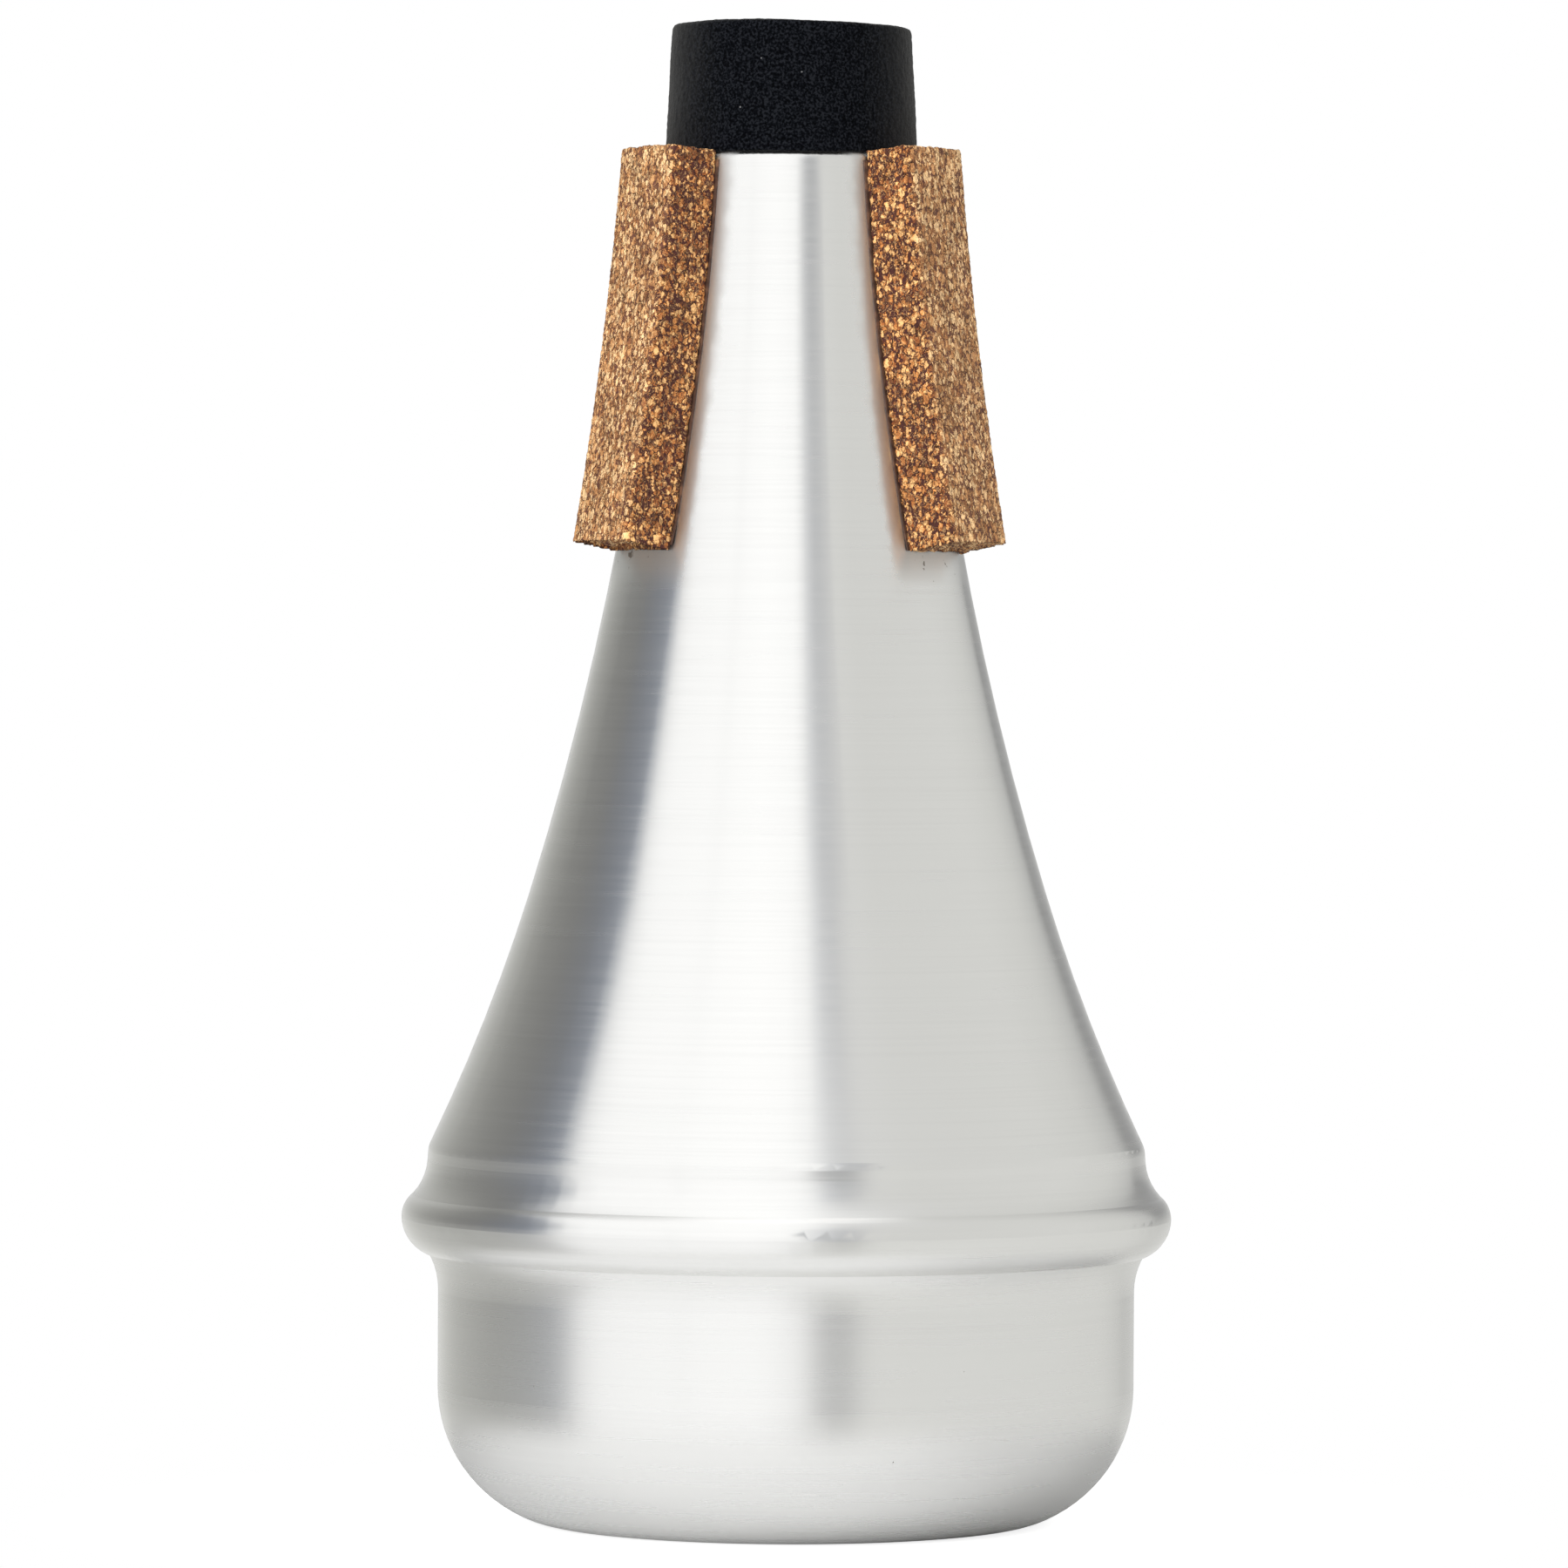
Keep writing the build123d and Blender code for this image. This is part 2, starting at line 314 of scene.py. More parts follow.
# Where the tool worked it: a height as a share of the mute's, and how deep its lines are there
cone_bands = [(0.16, 0.3), (0.205, 0.5), (0.23, 0.6), (0.25, 0.25), (0.3, 0.08), (0.9, 0.08)]
cup_bands = [(0.0, 0.02), (0.12, 0.05), (0.14, 1.9), (0.185, 1.9), (0.195, 0.3)]


def new_group(name, inputs, outputs):
    """A shader node group with these named sockets: its tree, and the outputs of its Group Input."""
    tree = bpy.data.node_groups.new(name, "ShaderNodeTree")
    for socket, kind, value in inputs:
        made = tree.interface.new_socket(name=socket, in_out="INPUT", socket_type=kind)
        made.default_value = value
    for socket, kind in outputs:
        tree.interface.new_socket(name=socket, in_out="OUTPUT", socket_type=kind)
    return tree, tree.nodes.new("NodeGroupInput").outputs


def around_axis(tree, place):
    """A place on the piece, its three coordinates, and the place straight below it on the floor."""
    object_place = put(tree, "ShaderNodeTexCoord", place).outputs["Object"]
    axes = put(tree, "ShaderNodeSeparateXYZ", (place[0] + 1, place[1]), inputs={0: object_place}).outputs
    flat = put(
        tree, "ShaderNodeCombineXYZ", (place[0] + 2, place[1]), inputs={"X": axes["X"], "Y": axes["Y"]}
    )
    return object_place, axes, flat.outputs[0]


lathe_marks, marks_in = new_group(
    "lathe_marks",
    [("Lines per Metre", "NodeSocketFloat", 4000.0), ("Breaks Round", "NodeSocketFloat", 2.0)],
    [("Height", "NodeSocketFloat")],
)
_, mark_axes, mark_flat = around_axis(lathe_marks, (-6, 0))
mark_outward = vectors(lathe_marks, (-3, 0), "NORMALIZE", mark_flat)
mark_round = vectors(lathe_marks, (-2, 0), "SCALE", mark_outward, marks_in["Breaks Round"])
mark_up = maths(lathe_marks, (-3, 1), "MULTIPLY", mark_axes["Z"], marks_in["Lines per Metre"])
mark_rise = put(lathe_marks, "ShaderNodeCombineXYZ", (-2, 1), inputs={"Z": mark_up}).outputs[0]
mark_vector = vectors(lathe_marks, (-1, 0), "ADD", mark_round, mark_rise)
mark_radius = vectors(lathe_marks, (-3, -1), "LENGTH", mark_flat)
mark_out = maths(lathe_marks, (-2, -1), "MULTIPLY", mark_radius, marks_in["Lines per Metre"])
mark_noise = put(
    lathe_marks, "ShaderNodeTexNoise", (0, 0), noise_dimensions="4D",
    inputs={"Vector": mark_vector, "W": mark_out, "Scale": 1.0, "Detail": 1.0},
)
put(lathe_marks, "NodeGroupOutput", (1, 0), inputs={"Height": mark_noise.outputs["Fac"]})


def marks(tree, place, lines, breaks):
    """The height of marks round the axis, so many to the metre and so often broken on the way round."""
    node = put(tree, "ShaderNodeGroup", place, node_tree=lathe_marks)
    node.inputs["Lines per Metre"].default_value = lines
    node.inputs["Breaks Round"].default_value = breaks
    return node.outputs["Height"]


# Beside the corks the metal is dull with wiped cement. The haze reaches a little past their edges and
# their feet, and a few small smudges of cement were left on the metal just below each cork.
cork_low, cork_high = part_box("cork_back")
cork_half_width = (cork_high.x - cork_low.x) / 2
corks_apart = radians(120)
haze_edge = (cork_half_width + 0.0016, cork_half_width + 0.0034)
haze_foot = (cork_low.z - 0.005, cork_low.z + 0.001)
haze_ragged = 0.0016
smudges_per_metre = 900.0
smudge_bend = 0.0035
smudge_edge = (cork_half_width - 0.002, cork_half_width)
smudge_height = cork_low.z - 0.0008
smudge_spread = 0.0022

glue_haze, haze_in = new_group(
    "glue_haze",
    [("Strength", "NodeSocketFloat", 1.0)],
    [("Mask", "NodeSocketFloat"), ("Smudge", "NodeSocketFloat")],
)
haze_place, haze_axes, haze_flat = around_axis(glue_haze, (-7, 0))
haze_radius = vectors(glue_haze, (-4, 1), "LENGTH", haze_flat)
haze_turn = maths(glue_haze, (-5, 1), "ARCTAN2", haze_axes["X"], haze_axes["Y"])
from_cork = maths(glue_haze, (-4, 0), "PINGPONG", haze_turn, corks_apart / 2)
from_cork_sine = maths(glue_haze, (-3, 0), "SINE", from_cork)
from_middle = maths(glue_haze, (-2, 0), "MULTIPLY", from_cork_sine, haze_radius)
haze_cloud = put(
    glue_haze, "ShaderNodeTexNoise", (-4, -2),
    inputs={"Vector": haze_place, "Scale": 500.0, "Detail": 3.0},
).outputs
uneven = maths(glue_haze, (-2, -1), "MULTIPLY_ADD", haze_cloud["Fac"], haze_ragged, from_middle)
beside = ranged(glue_haze, (-1, 0), uneven, haze_edge, (1.0, 0.0))
above_foot = ranged(glue_haze, (-1, -1), haze_axes["Z"], haze_foot)
hazed = maths(glue_haze, (0, 0), "MULTIPLY", beside, above_foot)
haze_mask = maths(glue_haze, (1, 0), "MULTIPLY", hazed, haze_in["Strength"])
smudge_place = vectors(
    glue_haze, (-5, -4), "MULTIPLY_ADD", haze_cloud["Color"], (smudge_bend,) * 3, haze_place
)
smudge_cells = put(
    glue_haze, "ShaderNodeTexVoronoi", (-4, -4), inputs={"Vector": smudge_place, "Scale": smudges_per_metre}
).outputs
smudge_picks = put(glue_haze, "ShaderNodeSeparateXYZ", (-3, -4), inputs={0: smudge_cells["Color"]}).outputs
smudge_size = ranged(glue_haze, (-2, -4), smudge_picks["X"], (0.6, 1.0), (0.0, 0.34), bend="LINEAR")
smudge_inside = maths(glue_haze, (-1, -4), "SUBTRACT", smudge_size, smudge_cells["Distance"])
smudge_spots = ranged(glue_haze, (0, -4), smudge_inside, (0.0, 0.12))
under_cork = ranged(glue_haze, (-1, -2), from_middle, smudge_edge, (1.0, 0.0), bend="LINEAR")
below_foot = maths(glue_haze, (-1, -3), "COMPARE", haze_axes["Z"], smudge_height, smudge_spread)
smudge_band = maths(glue_haze, (0, -2), "MULTIPLY", under_cork, below_foot)
smudge = maths(glue_haze, (1, -2), "MULTIPLY", smudge_band, smudge_spots)
put(glue_haze, "NodeGroupOutput", (2, 0), inputs={"Mask": haze_mask, "Smudge": smudge})


def spun_aluminium(name, roughness, unevenness, drawn_out, mark_depth, worked_bands):
    """Bare spun aluminium, with deeper tool lines in the bands of height where it was worked most."""
    material, tree = new_material(name)
    fine = marks(tree, (-6, 3), lines=3800.0, breaks=0.5)
    streaks = marks(tree, (-6, 2), lines=1900.0, breaks=1.6)
    tool = marks(tree, (-6, 1), lines=1500.0, breaks=0.35)
    place = put(tree, "ShaderNodeTexCoord", (-9, -2)).outputs["Object"]
    rise = put(tree, "ShaderNodeSeparateXYZ", (-8, -2), inputs={0: place}).outputs["Z"]
    share_of_height = ranged(tree, (-7, -2), rise, (0.0, mute_height), bend="LINEAR")
    worked = ramp(tree, (-6, -2), share_of_height, worked_bands)
    tool_lines = maths(tree, (-4, 0), "MULTIPLY", tool, worked)
    brushed = maths(tree, (-4, 2), "MULTIPLY_ADD", streaks, streak_depth, fine)
    relief = maths(tree, (-3, 1), "MULTIPLY_ADD", tool_lines, tool_line_depth, brushed)
    # Dust and pits: a few specks, each the middle of a cell
    speck_cells = put(
        tree, "ShaderNodeTexVoronoi", (-6, -5), inputs={"Vector": place, "Scale": specks_per_metre}
    ).outputs
    speck_picks = put(tree, "ShaderNodeSeparateXYZ", (-5, -5), inputs={0: speck_cells["Color"]}).outputs
    speck_size = ranged(tree, (-4, -5), speck_picks["X"], (0.9, 1.0), (0.0, 0.034), bend="LINEAR")
    specks = maths(tree, (-3, -5), "LESS_THAN", speck_cells["Distance"], speck_size)
    bump = put(
        tree, "ShaderNodeBump", (-1, -1), inputs={"Height": relief, "Strength": 1.0, "Distance": mark_depth}
    )
    # Painted shade: the colour darkens a little in the grooves of the fine lines
    painted_groove_shade_colour = tuple(channel * groove_shade for channel in aluminium_colour)
    tint = ramp(tree, (-3, 3), fine, [(0.3, painted_groove_shade_colour), (0.55, aluminium_colour)])
    speckled = mixed(tree, (-2, 3), specks, tint, speck_colour)
    glossier_to_duller = (roughness - unevenness, roughness + unevenness)
    gloss = ranged(tree, (-3, 2), streaks, (0.3, 0.7), glossier_to_duller, bend="LINEAR")
    dulled = maths(tree, (-2, 1), "MULTIPLY_ADD", specks, speck_dullness, gloss)
    wiped_cement = put(tree, "ShaderNodeGroup", (-4, -7), node_tree=glue_haze).outputs
    smudged = mixed(tree, (-1, 3), wiped_cement["Smudge"], speckled, cement_stain)
    hazy = ranged(tree, (-1, 1), wiped_cement["Mask"], (0.0, 1.0), (dulled, haze_roughness), bend="LINEAR")
    round_axis = put(tree, "ShaderNodeTangent", (-1, -3), direction_type="RADIAL", axis="Z")
    metal = put(
        tree, "ShaderNodeBsdfPrincipled", (0, 0),
        inputs={
            "Base Color": smudged, "Metallic": 1.0, "Roughness": hazy, "Normal": bump.outputs[0],
            "Anisotropic": drawn_out, "Anisotropic Rotation": 0.25, "Tangent": round_axis.outputs[0],
        },
    )
    put(tree, "ShaderNodeOutputMaterial", (2, 0), inputs={0: metal.outputs[0]})
    return material


def dress(node_name, material):
    """Gives a node of the frame its material."""
    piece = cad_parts[node_name]
    piece.data.materials.clear()
    piece.data.materials.append(material)


spun_cone = spun_aluminium(
    "spun_cone", roughness=0.24, unevenness=0.035, drawn_out=0.87, mark_depth=1.9e-6, worked_bands=cone_bands
)
spun_cup = spun_aluminium(
    "spun_cup", roughness=0.27, unevenness=0.01, drawn_out=0.82, mark_depth=0.22e-6, worked_bands=cup_bands
)
dress("cone_shell", spun_cone)
dress("base_cup", spun_cup)


# Bumper: a sleeve of dense black sponge with a velvety skin, cut from tube, a little askew at the top,
# pulled over the neck and glued. It is softly uneven.
sponge_voxel = 0.00028
nap_size = 0.00045
nap_depth = 0.00006
swell_size = 0.006
swell_depth = 0.00012
top_cut_fall = 0.0004
nap_colours = [
    (0.38, (0.0006, 0.0007, 0.0012)), (0.5, (0.0025, 0.003, 0.0045)), (0.62, (0.011, 0.012, 0.015)),
]
nap_relief = 0.0001
fibres_per_metre = 900.0
fibre_reach = 0.09
cells_without_fibre = 0.9
fibre_colour = (0.13, 0.13, 0.13, 1)
# The colour of the painted sheen where the skin is seen edge on
painted_sheen_colour = (0.038, 0.038, 0.037, 1)


def remeshed(node_name, piece_name, voxel):
    """A copy of a node in even small faces, for a surface that is rough all over."""
    copy = bpy.data.objects.new(piece_name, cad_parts[node_name].data.copy())
    scene.collection.objects.link(copy)
    change = copy.modifiers.new("small_faces", "REMESH")
    change.mode = "VOXEL"
    change.voxel_size = voxel
    small = bpy.data.meshes.new_from_object(copy.evaluated_get(bpy.context.evaluated_depsgraph_get()))
    small.name = piece_name
    copy.modifiers.clear()
    copy.data = small
    small.materials.clear()
    return copy


def points_of(mesh):
    """The places and the normals of a mesh's vertices, as arrays."""
    places = np.empty(len(mesh.vertices) * 3)
    mesh.vertices.foreach_get("co", places)
    normals = np.array([vertex.normal for vertex in mesh.vertices])
    return places.reshape(-1, 3), normals


def smooth(mesh, places):
    """Sets a mesh's vertices and shades it smooth."""
    mesh.vertices.foreach_set("co", places.ravel())
    mesh.polygons.foreach_set("use_smooth", [True] * len(mesh.polygons))
    mesh.update()


bumper = remeshed("neck_bumper", "sponge_bumper", sponge_voxel)
bumper_low, bumper_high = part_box("neck_bumper")
places, normals = points_of(bumper.data)
for number, (place, normal) in enumerate(zip(places, normals)):
    spot = Vector(place)
    nap = noise.noise(spot / nap_size) * nap_depth
    swell = noise.noise(spot / swell_size) * swell_depth
    places[number] = place + normal * (nap + swell)
# The cut falls to the right, and only the top end of the sleeve follows it
to_top = np.clip((places[:, 2] - bumper_low.z) / (bumper_high.z - bumper_low.z), 0, 1)
to_right = (places[:, 0] - bumper_low.x) / (bumper_high.x - bumper_low.x)
places[:, 2] -= to_top**4 * (to_right * top_cut_fall + nap_depth + swell_depth)
smooth(bumper.data, places)

black_sponge, sponge = new_material("black_sponge")
sponge_place = put(sponge, "ShaderNodeTexCoord", (-6, 0)).outputs["Object"]
nap_noise = put(
    sponge, "ShaderNodeTexNoise", (-5, 1), inputs={"Vector": sponge_place, "Scale": 3800.0, "Detail": 3.0}
).outputs["Fac"]
nap_colour = ramp(sponge, (-3, 1), nap_noise, nap_colours)
# Short grey fibres are caught in the skin, in one cell out of ten
fibre_cells = put(
    sponge, "ShaderNodeTexVoronoi", (-5, -1), inputs={"Vector": sponge_place, "Scale": fibres_per_metre}
).outputs
fibre_picks = put(sponge, "ShaderNodeSeparateXYZ", (-4, -2), inputs={0: fibre_cells["Color"]}).outputs
fibre_spots = maths(sponge, (-4, -1), "LESS_THAN", fibre_cells["Distance"], fibre_reach)
fibre_few = maths(sponge, (-3, -2), "GREATER_THAN", fibre_picks["X"], cells_without_fibre)
fibres = maths(sponge, (-2, -1), "MULTIPLY", fibre_spots, fibre_few)
sponge_colour = mixed(sponge, (-1, 1), fibres, nap_colour, fibre_colour)
# Painted sheen: the skin's colour is paler where it is seen edge on, in place of the light that loose fuzz
# on it catches
edge_on = put(sponge, "ShaderNodeLayerWeight", (-3, 3), inputs={"Blend": 0.5}).outputs["Facing"]
painted_sheen = ranged(sponge, (-2, 3), edge_on, (0.15, 1.0))
with_painted_sheen = mixed(sponge, (0, 2), painted_sheen, sponge_colour, painted_sheen_colour)
sponge_bump = put(
    sponge, "ShaderNodeBump", (-1, -1), inputs={"Height": nap_noise, "Strength": 1.0, "Distance": nap_relief}
)
sponge_skin = put(
    sponge, "ShaderNodeBsdfPrincipled", (1, 0),
    inputs={
        "Base Color": with_painted_sheen, "Roughness": 0.95, "Specular IOR Level": 0.06,
        "Sheen Weight": 0.13, "Sheen Roughness": 0.25, "Normal": sponge_bump.outputs[0],
    },
)
put(sponge, "ShaderNodeOutputMaterial", (3, 0), inputs={0: sponge_skin.outputs[0]})
bumper.data.materials.append(black_sponge)
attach(bumper, "root")
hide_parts("neck_bumper")


# Cork strips: pressed from cork granules and binder, sawn into strips, hollowed along the back to the
# cone and glued on. The outer face is sanded and paler, the sawn sides show the dark binder, and the
# ends are broken off rough.
side_names = ("left", "right", "back")
cork_voxel = 0.0002
flake_size, flake_depth = 0.00078, 0.00009
crumb_size, crumb_depth = 0.0004, 0.00006
widest_crack = 0.4
chip_size, chip_depth = 0.0016, 0.0005
small_chip_size, small_chip_depth = 0.0007, 0.0003
top_chips = 0.4
foot_torn_off = {"left": 0.0009, "right": 0.0004, "back": 0.0006}

# An end faces up or down, and the sanded face outward, by more than these. Sanding takes the flakes down to
# a share of their depth. Its paler colour comes and goes in patches, and the broken ends are given it too as
# painted light, in place of the light they catch.
end_from = 0.4
sanded_from = 0.6
sanded_depth = 0.7
sanded_colour_from, sanded_colour_over = 0.45, 0.5
patch_size, patch_change = 0.0012, 0.35
end_painted_light = 0.8

sawn_binder = (0.07, 0.02, 0.015, 1)
sanded_binder = (0.145, 0.054, 0.034, 1)
# The palest stop of each flake ramp is partly the cork's cream flakes and partly painted glints on them
sawn_flakes_and_glints = [
    (0.3, (0.18, 0.047, 0.014)), (0.55, (0.4, 0.13, 0.033)),
    (0.85, (0.66, 0.27, 0.072)), (1.0, (0.88, 0.5, 0.2)),
]
sanded_flakes_and_glints = [
    (0.3, (0.2, 0.074, 0.028)), (0.5, (0.42, 0.18, 0.062)),
    (0.8, (0.64, 0.33, 0.135)), (1.0, (0.9, 0.6, 0.31)),
]
pale_edge_colour = (0.78, 0.45, 0.19, 1)
dash_colour = (0.12, 0.045, 0.025, 1)
flake_bend = 0.0007
flake_stretch = (1, 1, 0.62)
dash_stretch = (1, 1, 0.4)
rings_of_hooks = 38.0
grain_shade = 0.7
hook_relief, tilt_relief, grain_relief = 0.25, 2.0, 0.5
cork_relief = 0.0001

flakes, flakes_in = new_group(
    "cork_flakes",
    [
        ("Place", "NodeSocketVector", (0, 0, 0)),
        ("Size", "NodeSocketFloat", crumb_size),
        ("Smallest", "NodeSocketFloat", 0.3),
        ("Largest", "NodeSocketFloat", 0.65),
        ("Share", "NodeSocketFloat", 1.0),
    ],
    [("Mask", "NodeSocketFloat"), ("Shade", "NodeSocketFloat"), ("Tilt", "NodeSocketFloat")],
)
per_metre = maths(flakes, (-4, 1), "DIVIDE", 1.0, flakes_in["Size"])
cells = put(
    flakes, "ShaderNodeTexVoronoi", (-3, 0), inputs={"Vector": flakes_in["Place"], "Scale": per_metre}
).outputs
cell_picks = put(flakes, "ShaderNodeSeparateXYZ", (-2, 1), inputs={0: cells["Color"]}).outputs
reaches = (flakes_in["Smallest"], flakes_in["Largest"])
reach = ranged(flakes, (-1, 1), cell_picks["Y"], (0.0, 1.0), reaches, bend="LINEAR")
inside = maths(flakes, (0, 1), "SUBTRACT", reach, cells["Distance"])
crisp = ranged(flakes, (1, 1), inside, (-0.03, 0.05))
there = maths(flakes, (0, -1), "LESS_THAN", cell_picks["Z"], flakes_in["Share"])
kept = maths(flakes, (2, 0), "MULTIPLY", crisp, there)
scaled_place = vectors(flakes, (-2, -2), "SCALE", flakes_in["Place"], per_metre)
in_flake = vectors(flakes, (-1, -2), "SUBTRACT", scaled_place, cells["Position"])
tilt_way = vectors(flakes, (-1, -3), "SUBTRACT", cells["Color"], (0.5, 0.5, 0.5))
tilt = vectors(flakes, (0, -2), "DOT_PRODUCT", in_flake, tilt_way)
# Painted shade: each flake's tone darkens towards its edge, in place of the shade where it curls down into
# the gap around it
painted_edge_shade = ranged(flakes, (1, 3), inside, (0.0, 0.24), (0.45, 1.0))
tone_with_edge_shade = maths(flakes, (2, 2), "MULTIPLY", cell_picks["X"], painted_edge_shade)
put(flakes, "NodeGroupOutput", (3, 0), inputs={"Mask": kept, "Shade": tone_with_edge_shade, "Tilt": tilt})


def cork_material():
    """Pressed cork: flakes from brown to cream in a dark binder, less of which shows where it is sanded."""
    material, tree = new_material("agglomerated_cork")
    place = put(tree, "ShaderNodeTexCoord", (-9, 0)).outputs["Object"]
    # The sanded face, and the broken ends with their painted light
    sanded_or_end_lit = put(tree, "ShaderNodeAttribute", (-9, -2), attribute_name="sanded").outputs["Fac"]

    def cloudy(spot, at, scale, detail, distortion=0.0):
        """The outputs of a noise over the piece."""
        inputs = {"Vector": at, "Scale": scale, "Detail": detail, "Distortion": distortion}
        return put(tree, "ShaderNodeTexNoise", spot, inputs=inputs).outputs

    bend = cloudy((-8, 1), place, scale=2300.0, detail=2.0)["Color"]
    bent = vectors(tree, (-7, 1), "MULTIPLY_ADD", bend, (flake_bend,) * 3, place)
    drawn = vectors(tree, (-6, 1), "MULTIPLY", bent, flake_stretch)

    def layer(row, size, smallest, largest, sanded_more, share):
        """One size of flake, whose flakes lie closer together on the sanded face: mask, shade and tilt."""
        node = put(
            tree, "ShaderNodeGroup", (-4, row), node_tree=flakes,
            inputs={
                "Place": drawn, "Size": size, "Share": share,
                "Smallest": maths(tree, (-5, row), "MULTIPLY_ADD", sanded_or_end_lit, sanded_more, smallest),
                "Largest": maths(tree, (-5, row + 0.5), "MULTIPLY_ADD", sanded_or_end_lit, sanded_more, largest),
            },
        )
        return node.outputs["Mask"], node.outputs["Shade"], node.outputs["Tilt"]

    crumb_mask, crumb_shade, crumb_tilt = layer(
        3, crumb_size, smallest=0.35, largest=0.72, sanded_more=0.12, share=1.0
    )
    flake_mask, flake_shade, flake_tilt = layer(
        2, flake_size, smallest=0.25, largest=0.55, sanded_more=0.12, share=0.5
    )
    grain = cloudy((-4, 0), place, scale=6000.0, detail=2.0)["Fac"]

    def coloured(row, shade):
        """A flake's colour by its shade, with a fine grain in it, sawn or sanded."""
        grained = maths(tree, (-3, row), "MULTIPLY_ADD", grain, grain_shade, shade)
        sawn = ramp(tree, (-2, row + 0.5), grained, sawn_flakes_and_glints)
        sanded = ramp(tree, (-2, row), grained, sanded_flakes_and_glints)
        return mixed(tree, (-1, row), sanded_or_end_lit, sawn, sanded)

    binder = mixed(tree, (-1, -1), sanded_or_end_lit, sawn_binder, sanded_binder)
    with_crumbs = mixed(tree, (0, 2), crumb_mask, binder, coloured(3, crumb_shade))
    with_flakes = mixed(tree, (1, 1), flake_mask, with_crumbs, coloured(1, flake_shade))
    # Many flakes lie curled, and show their thin edges as pale and dark rings and hooks
    hook_noise = cloudy((-5, -6), drawn, scale=1150.0, detail=1.0, distortion=0.7)["Fac"]
    hook_turns = maths(tree, (-4, -6), "MULTIPLY", hook_noise, rings_of_hooks)
    hook_wave = maths(tree, (-3, -6), "SINE", hook_turns)
    dark_hooks = ranged(tree, (-2, -6), hook_wave, (-1.0, -0.55), (0.55, 0.0))
    pale_hooks = ranged(tree, (-2, -7), hook_wave, (0.6, 1.0), (0.0, 0.45))
    with_dark_hooks = mixed(tree, (1, 2), dark_hooks, with_flakes, binder)
    with_hooks = mixed(tree, (2, 2), pale_hooks, with_dark_hooks, pale_edge_colour)
    # The sander has torn out short dashes along the strip
    dash_place = vectors(tree, (-6, -4), "MULTIPLY", bent, dash_stretch)
    dash_noise = cloudy((-5, -4), dash_place, scale=3000.0, detail=2.0)["Fac"]
    dashes = ranged(tree, (-4, -4), dash_noise, (0.36, 0.43), (0.6, 0.0))
    with_dashes = mixed(tree, (2, 1), dashes, with_hooks, dash_colour)
    cloud_noise = cloudy((1, 3), place, scale=330.0, detail=1.0)["Fac"]
    clouds = ramp(tree, (2, 3), cloud_noise, [(0.35, 0.84), (0.65, 1.1)])
    clouded = mixed(tree, (3, 1), 1.0, with_dashes, clouds, blend_type="MULTIPLY")
    # Flakes stand proud of the binder, each tilted its own way, with dashes torn down into them
    proud = maths(tree, (-1, -2), "MAXIMUM", crumb_mask, flake_mask)
    torn_down = maths(tree, (0, -3), "SUBTRACT", proud, dashes)
    hooked = maths(tree, (1, -3), "MULTIPLY_ADD", hook_wave, hook_relief, torn_down)
    facets = put(
        tree, "ShaderNodeMix", (0, -1), data_type="FLOAT",
        inputs={"Factor": flake_mask, "A": crumb_tilt, "B": flake_tilt},
    ).outputs["Result"]
    tilted = maths(tree, (1, -2), "MULTIPLY_ADD", facets, tilt_relief, hooked)
    relief = maths(tree, (2, -2), "MULTIPLY_ADD", grain, grain_relief, tilted)
    bump = put(
        tree, "ShaderNodeBump", (3, -2), inputs={"Height": relief, "Strength": 1.0, "Distance": cork_relief}
    )
    skin = put(
        tree, "ShaderNodeBsdfPrincipled", (4, 0),
        inputs={
            "Base Color": clouded, "Roughness": 0.7, "Specular IOR Level": 0.35, "Normal": bump.outputs[0],
        },
    )
    put(tree, "ShaderNodeOutputMaterial", (6, 0), inputs={0: skin.outputs[0]})
    return material


def flake_height(spot):
    """How far the cork's flakes and crumbs stand out of the surface, or lie below it, at a spot."""
    near, next_near = noise.voronoi(spot / flake_size)[0][:2]
    flake = min(next_near - near, widest_crack) / widest_crack - 0.5
    return flake_depth * flake + crumb_depth * noise.noise(spot / crumb_size)


def chip_height(spot):
    """How far a broken end of the cork stands out, or is chipped away, at a spot."""
    chip = noise.noise(spot / chip_size) * chip_depth
    return chip + noise.noise(spot / small_chip_size) * small_chip_depth


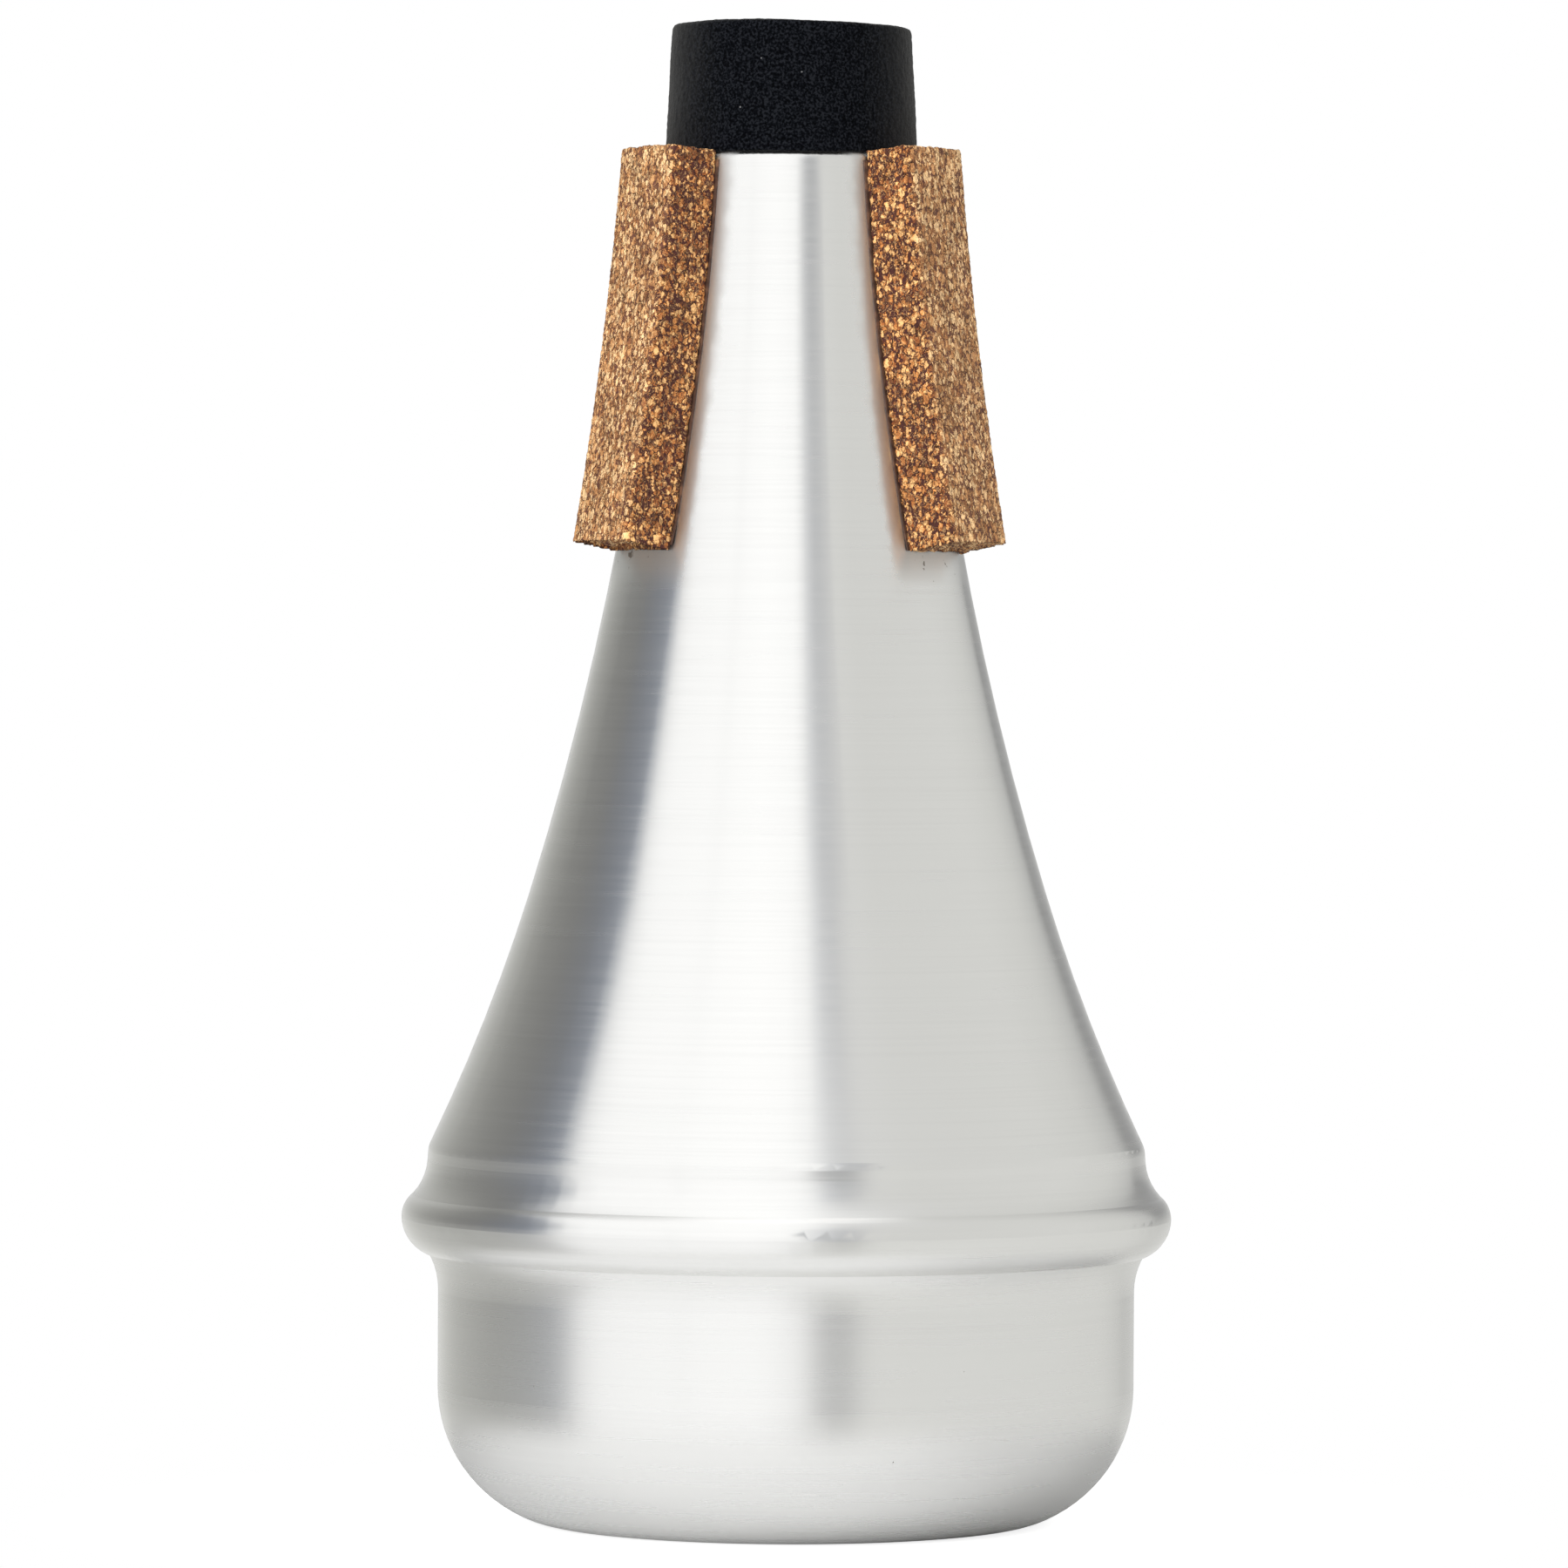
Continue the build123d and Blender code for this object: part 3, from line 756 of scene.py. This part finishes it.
agglomerated_cork = cork_material()
for side in side_names:
    node_name = f"cork_{side}"
    strip = remeshed(node_name, f"cork_strip_{side}", cork_voxel)
    places, normals = points_of(strip.data)
    middle = places.mean(axis=0)
    outward = Vector((middle[0], middle[1], 0)).normalized()
    facing_out = normals @ np.array(outward)
    end_share = np.clip(np.abs(normals[:, 2]) - end_from, 0, None) / (1 - end_from)
    patches_and_end_light = np.zeros(len(places))
    for number, (place, normal) in enumerate(zip(places, normals)):
        spot = Vector(place)
        end = end_share[number]
        at_foot = place[2] < middle[2]
        rough = flake_height(spot) * (sanded_depth if facing_out[number] > sanded_from else 1)
        chipped = chip_height(spot) * (1 if at_foot else top_chips)
        places[number] = place + normal * (rough + end * chipped)
        if at_foot:
            places[number, 2] += end * foot_torn_off[side]
        # Painted light: the broken ends are made paler, in place of the light they catch
        patches_and_end_light[number] = noise.noise(spot / patch_size) * patch_change + end * end_painted_light
    smooth(strip.data, places)
    # Besides the sanding and its patches, the sanded attribute carries the painted light on the ends
    sanded = strip.data.attributes.new("sanded", "FLOAT", "POINT")
    sanded_and_end_light_share = (facing_out + patches_and_end_light - sanded_colour_from) / sanded_colour_over
    sanded.data.foreach_set("value", np.clip(sanded_and_end_light_share, 0, 1))
    strip.data.materials.append(agglomerated_cork)
    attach(strip, "root")
    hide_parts(node_name)


# Glue: contact cement brushed on cork and cone, dried to a thin dark amber film. It shows as a line along
# the corks' edges, and its foot is torn off with the cork's. The bumper is stuck on with it too.
cement_colours = [
    (0.3, (0.035, 0.017, 0.012)), (0.55, (0.08, 0.038, 0.024)), (0.75, (0.18, 0.085, 0.045)),
]
lumps_per_metre = 900.0
lump_relief = 0.0001

contact_cement, cement = new_material("contact_cement")
cement_place = put(cement, "ShaderNodeTexCoord", (-5, 0)).outputs["Object"]
cement_lumps = put(
    cement, "ShaderNodeTexNoise", (-4, 0),
    inputs={"Vector": cement_place, "Scale": lumps_per_metre, "Detail": 3.0},
).outputs["Fac"]
cement_colour = ramp(cement, (-3, 1), cement_lumps, cement_colours)
cement_gloss = ranged(cement, (-3, -1), cement_lumps, (0.0, 1.0), (0.3, 0.6), bend="LINEAR")
cement_bump = put(
    cement, "ShaderNodeBump", (-2, -2),
    inputs={"Height": cement_lumps, "Strength": 0.6, "Distance": lump_relief},
)
cement_skin = put(
    cement, "ShaderNodeBsdfPrincipled", (0, 0),
    inputs={"Base Color": cement_colour, "Roughness": cement_gloss, "Normal": cement_bump.outputs[0]},
)
put(cement, "ShaderNodeOutputMaterial", (2, 0), inputs={0: cement_skin.outputs[0]})
dress("glue_bumper", contact_cement)
for side in side_names:
    node_name = f"glue_{side}"
    film = bpy.data.objects.new(f"glue_film_{side}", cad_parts[node_name].data.copy())
    scene.collection.objects.link(film)
    film_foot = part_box(node_name)[0].z
    for vertex in film.data.vertices:
        if vertex.co.z < film_foot + foot_torn_off[side]:
            vertex.co.z += foot_torn_off[side]
    film.data.materials.clear()
    film.data.materials.append(contact_cement)
    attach(film, "root")
    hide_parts(node_name)
